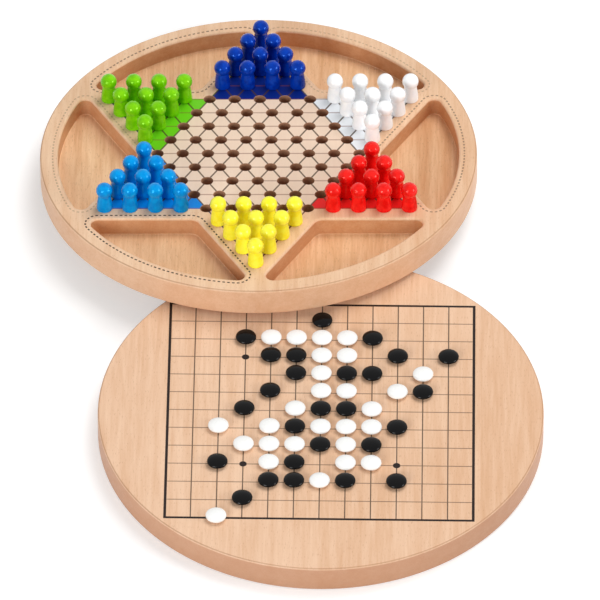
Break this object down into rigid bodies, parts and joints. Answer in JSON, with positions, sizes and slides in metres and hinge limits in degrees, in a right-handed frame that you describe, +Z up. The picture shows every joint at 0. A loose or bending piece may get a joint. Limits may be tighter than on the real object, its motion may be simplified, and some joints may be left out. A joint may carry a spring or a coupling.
{
  "type": "multi-game board set",
  "caption": "Round wooden star-checkers board with pegs and storage pockets, leaning on a round gobang board with black and white stones.",
  "frame": {"origin": "centre of the underside of the gobang board, which lies flat on the table", "axes": "+Z up; +Y from the near edge, where a player sits, towards the leaning star board; +X to that player's right"},
  "size_m": [0.3342, 0.5212, 0.0605],
  "materials": {
    "gobang_beech": "satin lacquered light beech with a printed brown line grid",
    "star_beech": "satin lacquered light beech with printed lines and six painted arms",
    "navy_gloss": "smooth gloss paint",
    "green_gloss": "smooth gloss paint",
    "blue_gloss": "smooth gloss paint",
    "yellow_gloss": "smooth gloss paint",
    "red_gloss": "smooth gloss paint",
    "white_gloss": "smooth gloss paint",
    "black_stone": "polished",
    "white_stone": "polished"
  },
  "bodies": {
    "gobang_board": {"gobang_board": "gobang_beech"},
    "star_board": {"star_board": "star_beech"},
    "navy_pegs_row_1": {"navy_pegs_row_1": "navy_gloss"},
    "navy_pegs_row_2": {"navy_pegs_row_2": "navy_gloss"},
    "navy_pegs_row_3": {"navy_pegs_row_3": "navy_gloss"},
    "navy_pegs_row_4": {"navy_pegs_row_4": "navy_gloss"},
    "green_pegs_row_1": {"green_pegs_row_1": "green_gloss"},
    "green_pegs_row_2": {"green_pegs_row_2": "green_gloss"},
    "green_pegs_row_3": {"green_pegs_row_3": "green_gloss"},
    "green_pegs_row_4": {"green_pegs_row_4": "green_gloss"},
    "blue_pegs_row_1": {"blue_pegs_row_1": "blue_gloss"},
    "blue_pegs_row_2": {"blue_pegs_row_2": "blue_gloss"},
    "blue_pegs_row_3": {"blue_pegs_row_3": "blue_gloss"},
    "blue_pegs_row_4": {"blue_pegs_row_4": "blue_gloss"},
    "yellow_pegs_row_1": {"yellow_pegs_row_1": "yellow_gloss"},
    "yellow_pegs_row_2": {"yellow_pegs_row_2": "yellow_gloss"},
    "yellow_pegs_row_3": {"yellow_pegs_row_3": "yellow_gloss"},
    "yellow_pegs_row_4": {"yellow_pegs_row_4": "yellow_gloss"},
    "red_pegs_row_1": {"red_pegs_row_1": "red_gloss"},
    "red_pegs_row_2": {"red_pegs_row_2": "red_gloss"},
    "red_pegs_row_3": {"red_pegs_row_3": "red_gloss"},
    "red_pegs_row_4": {"red_pegs_row_4": "red_gloss"},
    "white_pegs_row_1": {"white_pegs_row_1": "white_gloss"},
    "white_pegs_row_2": {"white_pegs_row_2": "white_gloss"},
    "white_pegs_row_3": {"white_pegs_row_3": "white_gloss"},
    "white_pegs_row_4": {"white_pegs_row_4": "white_gloss"},
    "black_stones_line_12": {"black_stones_line_12": "black_stone"},
    "black_stones_line_11": {"black_stones_line_11": "black_stone"},
    "black_stones_line_10": {"black_stones_line_10": "black_stone"},
    "black_stones_line_9": {"black_stones_line_9": "black_stone"},
    "black_stones_line_8": {"black_stones_line_8": "black_stone"},
    "black_stones_line_7": {"black_stones_line_7": "black_stone"},
    "black_stones_line_6": {"black_stones_line_6": "black_stone"},
    "black_stones_line_5": {"black_stones_line_5": "black_stone"},
    "black_stones_line_4": {"black_stones_line_4": "black_stone"},
    "black_stones_line_3": {"black_stones_line_3": "black_stone"},
    "black_stones_line_2": {"black_stones_line_2": "black_stone"},
    "white_stones_line_11": {"white_stones_line_11": "white_stone"},
    "white_stones_line_10": {"white_stones_line_10": "white_stone"},
    "white_stones_line_9": {"white_stones_line_9": "white_stone"},
    "white_stones_line_8": {"white_stones_line_8": "white_stone"},
    "white_stones_line_7": {"white_stones_line_7": "white_stone"},
    "white_stones_line_6": {"white_stones_line_6": "white_stone"},
    "white_stones_line_5": {"white_stones_line_5": "white_stone"},
    "white_stones_line_4": {"white_stones_line_4": "white_stone"},
    "white_stones_line_3": {"white_stones_line_3": "white_stone"},
    "white_stones_line_1": {"white_stones_line_1": "white_stone"}
  },
  "joints": [
    {"name": "star_board_lift", "type": "slide", "parent": "gobang_board", "child": "star_board", "axis": [0, 0, 1], "range_m": [0, 0.06]},
    {"name": "navy_pegs_row_1_lift", "type": "slide", "parent": "star_board", "child": "navy_pegs_row_1", "axis": [-0.0153, 0.0801, 0.9967], "range_m": [0, 0.04]},
    {"name": "navy_pegs_row_2_lift", "type": "slide", "parent": "star_board", "child": "navy_pegs_row_2", "axis": [-0.0153, 0.0801, 0.9967], "range_m": [0, 0.04]},
    {"name": "navy_pegs_row_3_lift", "type": "slide", "parent": "star_board", "child": "navy_pegs_row_3", "axis": [-0.0153, 0.0801, 0.9967], "range_m": [0, 0.04]},
    {"name": "navy_pegs_row_4_lift", "type": "slide", "parent": "star_board", "child": "navy_pegs_row_4", "axis": [-0.0153, 0.0801, 0.9967], "range_m": [0, 0.04]},
    {"name": "green_pegs_row_1_lift", "type": "slide", "parent": "star_board", "child": "green_pegs_row_1", "axis": [-0.0153, 0.0801, 0.9967], "range_m": [0, 0.04]},
    {"name": "green_pegs_row_2_lift", "type": "slide", "parent": "star_board", "child": "green_pegs_row_2", "axis": [-0.0153, 0.0801, 0.9967], "range_m": [0, 0.04]},
    {"name": "green_pegs_row_3_lift", "type": "slide", "parent": "star_board", "child": "green_pegs_row_3", "axis": [-0.0153, 0.0801, 0.9967], "range_m": [0, 0.04]},
    {"name": "green_pegs_row_4_lift", "type": "slide", "parent": "star_board", "child": "green_pegs_row_4", "axis": [-0.0153, 0.0801, 0.9967], "range_m": [0, 0.04]},
    {"name": "blue_pegs_row_1_lift", "type": "slide", "parent": "star_board", "child": "blue_pegs_row_1", "axis": [-0.0153, 0.0801, 0.9967], "range_m": [0, 0.04]},
    {"name": "blue_pegs_row_2_lift", "type": "slide", "parent": "star_board", "child": "blue_pegs_row_2", "axis": [-0.0153, 0.0801, 0.9967], "range_m": [0, 0.04]},
    {"name": "blue_pegs_row_3_lift", "type": "slide", "parent": "star_board", "child": "blue_pegs_row_3", "axis": [-0.0153, 0.0801, 0.9967], "range_m": [0, 0.04]},
    {"name": "blue_pegs_row_4_lift", "type": "slide", "parent": "star_board", "child": "blue_pegs_row_4", "axis": [-0.0153, 0.0801, 0.9967], "range_m": [0, 0.04]},
    {"name": "yellow_pegs_row_1_lift", "type": "slide", "parent": "star_board", "child": "yellow_pegs_row_1", "axis": [-0.0153, 0.0801, 0.9967], "range_m": [0, 0.04]},
    {"name": "yellow_pegs_row_2_lift", "type": "slide", "parent": "star_board", "child": "yellow_pegs_row_2", "axis": [-0.0153, 0.0801, 0.9967], "range_m": [0, 0.04]},
    {"name": "yellow_pegs_row_3_lift", "type": "slide", "parent": "star_board", "child": "yellow_pegs_row_3", "axis": [-0.0153, 0.0801, 0.9967], "range_m": [0, 0.04]},
    {"name": "yellow_pegs_row_4_lift", "type": "slide", "parent": "star_board", "child": "yellow_pegs_row_4", "axis": [-0.0153, 0.0801, 0.9967], "range_m": [0, 0.04]},
    {"name": "red_pegs_row_1_lift", "type": "slide", "parent": "star_board", "child": "red_pegs_row_1", "axis": [-0.0153, 0.0801, 0.9967], "range_m": [0, 0.04]},
    {"name": "red_pegs_row_2_lift", "type": "slide", "parent": "star_board", "child": "red_pegs_row_2", "axis": [-0.0153, 0.0801, 0.9967], "range_m": [0, 0.04]},
    {"name": "red_pegs_row_3_lift", "type": "slide", "parent": "star_board", "child": "red_pegs_row_3", "axis": [-0.0153, 0.0801, 0.9967], "range_m": [0, 0.04]},
    {"name": "red_pegs_row_4_lift", "type": "slide", "parent": "star_board", "child": "red_pegs_row_4", "axis": [-0.0153, 0.0801, 0.9967], "range_m": [0, 0.04]},
    {"name": "white_pegs_row_1_lift", "type": "slide", "parent": "star_board", "child": "white_pegs_row_1", "axis": [-0.0153, 0.0801, 0.9967], "range_m": [0, 0.04]},
    {"name": "white_pegs_row_2_lift", "type": "slide", "parent": "star_board", "child": "white_pegs_row_2", "axis": [-0.0153, 0.0801, 0.9967], "range_m": [0, 0.04]},
    {"name": "white_pegs_row_3_lift", "type": "slide", "parent": "star_board", "child": "white_pegs_row_3", "axis": [-0.0153, 0.0801, 0.9967], "range_m": [0, 0.04]},
    {"name": "white_pegs_row_4_lift", "type": "slide", "parent": "star_board", "child": "white_pegs_row_4", "axis": [-0.0153, 0.0801, 0.9967], "range_m": [0, 0.04]},
    {"name": "black_stones_line_12_lift", "type": "slide", "parent": "gobang_board", "child": "black_stones_line_12", "axis": [0, 0, 1], "range_m": [0, 0.05]},
    {"name": "black_stones_line_11_lift", "type": "slide", "parent": "gobang_board", "child": "black_stones_line_11", "axis": [0, 0, 1], "range_m": [0, 0.05]},
    {"name": "black_stones_line_10_lift", "type": "slide", "parent": "gobang_board", "child": "black_stones_line_10", "axis": [0, 0, 1], "range_m": [0, 0.05]},
    {"name": "black_stones_line_9_lift", "type": "slide", "parent": "gobang_board", "child": "black_stones_line_9", "axis": [0, 0, 1], "range_m": [0, 0.05]},
    {"name": "black_stones_line_8_lift", "type": "slide", "parent": "gobang_board", "child": "black_stones_line_8", "axis": [0, 0, 1], "range_m": [0, 0.05]},
    {"name": "black_stones_line_7_lift", "type": "slide", "parent": "gobang_board", "child": "black_stones_line_7", "axis": [0, 0, 1], "range_m": [0, 0.05]},
    {"name": "black_stones_line_6_lift", "type": "slide", "parent": "gobang_board", "child": "black_stones_line_6", "axis": [0, 0, 1], "range_m": [0, 0.05]},
    {"name": "black_stones_line_5_lift", "type": "slide", "parent": "gobang_board", "child": "black_stones_line_5", "axis": [0, 0, 1], "range_m": [0, 0.05]},
    {"name": "black_stones_line_4_lift", "type": "slide", "parent": "gobang_board", "child": "black_stones_line_4", "axis": [0, 0, 1], "range_m": [0, 0.05]},
    {"name": "black_stones_line_3_lift", "type": "slide", "parent": "gobang_board", "child": "black_stones_line_3", "axis": [0, 0, 1], "range_m": [0, 0.05]},
    {"name": "black_stones_line_2_lift", "type": "slide", "parent": "gobang_board", "child": "black_stones_line_2", "axis": [0, 0, 1], "range_m": [0, 0.05]},
    {"name": "white_stones_line_11_lift", "type": "slide", "parent": "gobang_board", "child": "white_stones_line_11", "axis": [0, 0, 1], "range_m": [0, 0.05]},
    {"name": "white_stones_line_10_lift", "type": "slide", "parent": "gobang_board", "child": "white_stones_line_10", "axis": [0, 0, 1], "range_m": [0, 0.05]},
    {"name": "white_stones_line_9_lift", "type": "slide", "parent": "gobang_board", "child": "white_stones_line_9", "axis": [0, 0, 1], "range_m": [0, 0.05]},
    {"name": "white_stones_line_8_lift", "type": "slide", "parent": "gobang_board", "child": "white_stones_line_8", "axis": [0, 0, 1], "range_m": [0, 0.05]},
    {"name": "white_stones_line_7_lift", "type": "slide", "parent": "gobang_board", "child": "white_stones_line_7", "axis": [0, 0, 1], "range_m": [0, 0.05]},
    {"name": "white_stones_line_6_lift", "type": "slide", "parent": "gobang_board", "child": "white_stones_line_6", "axis": [0, 0, 1], "range_m": [0, 0.05]},
    {"name": "white_stones_line_5_lift", "type": "slide", "parent": "gobang_board", "child": "white_stones_line_5", "axis": [0, 0, 1], "range_m": [0, 0.05]},
    {"name": "white_stones_line_4_lift", "type": "slide", "parent": "gobang_board", "child": "white_stones_line_4", "axis": [0, 0, 1], "range_m": [0, 0.05]},
    {"name": "white_stones_line_3_lift", "type": "slide", "parent": "gobang_board", "child": "white_stones_line_3", "axis": [0, 0, 1], "range_m": [0, 0.05]},
    {"name": "white_stones_line_1_lift", "type": "slide", "parent": "gobang_board", "child": "white_stones_line_1", "axis": [0, 0, 1], "range_m": [0, 0.05]}
  ]
}
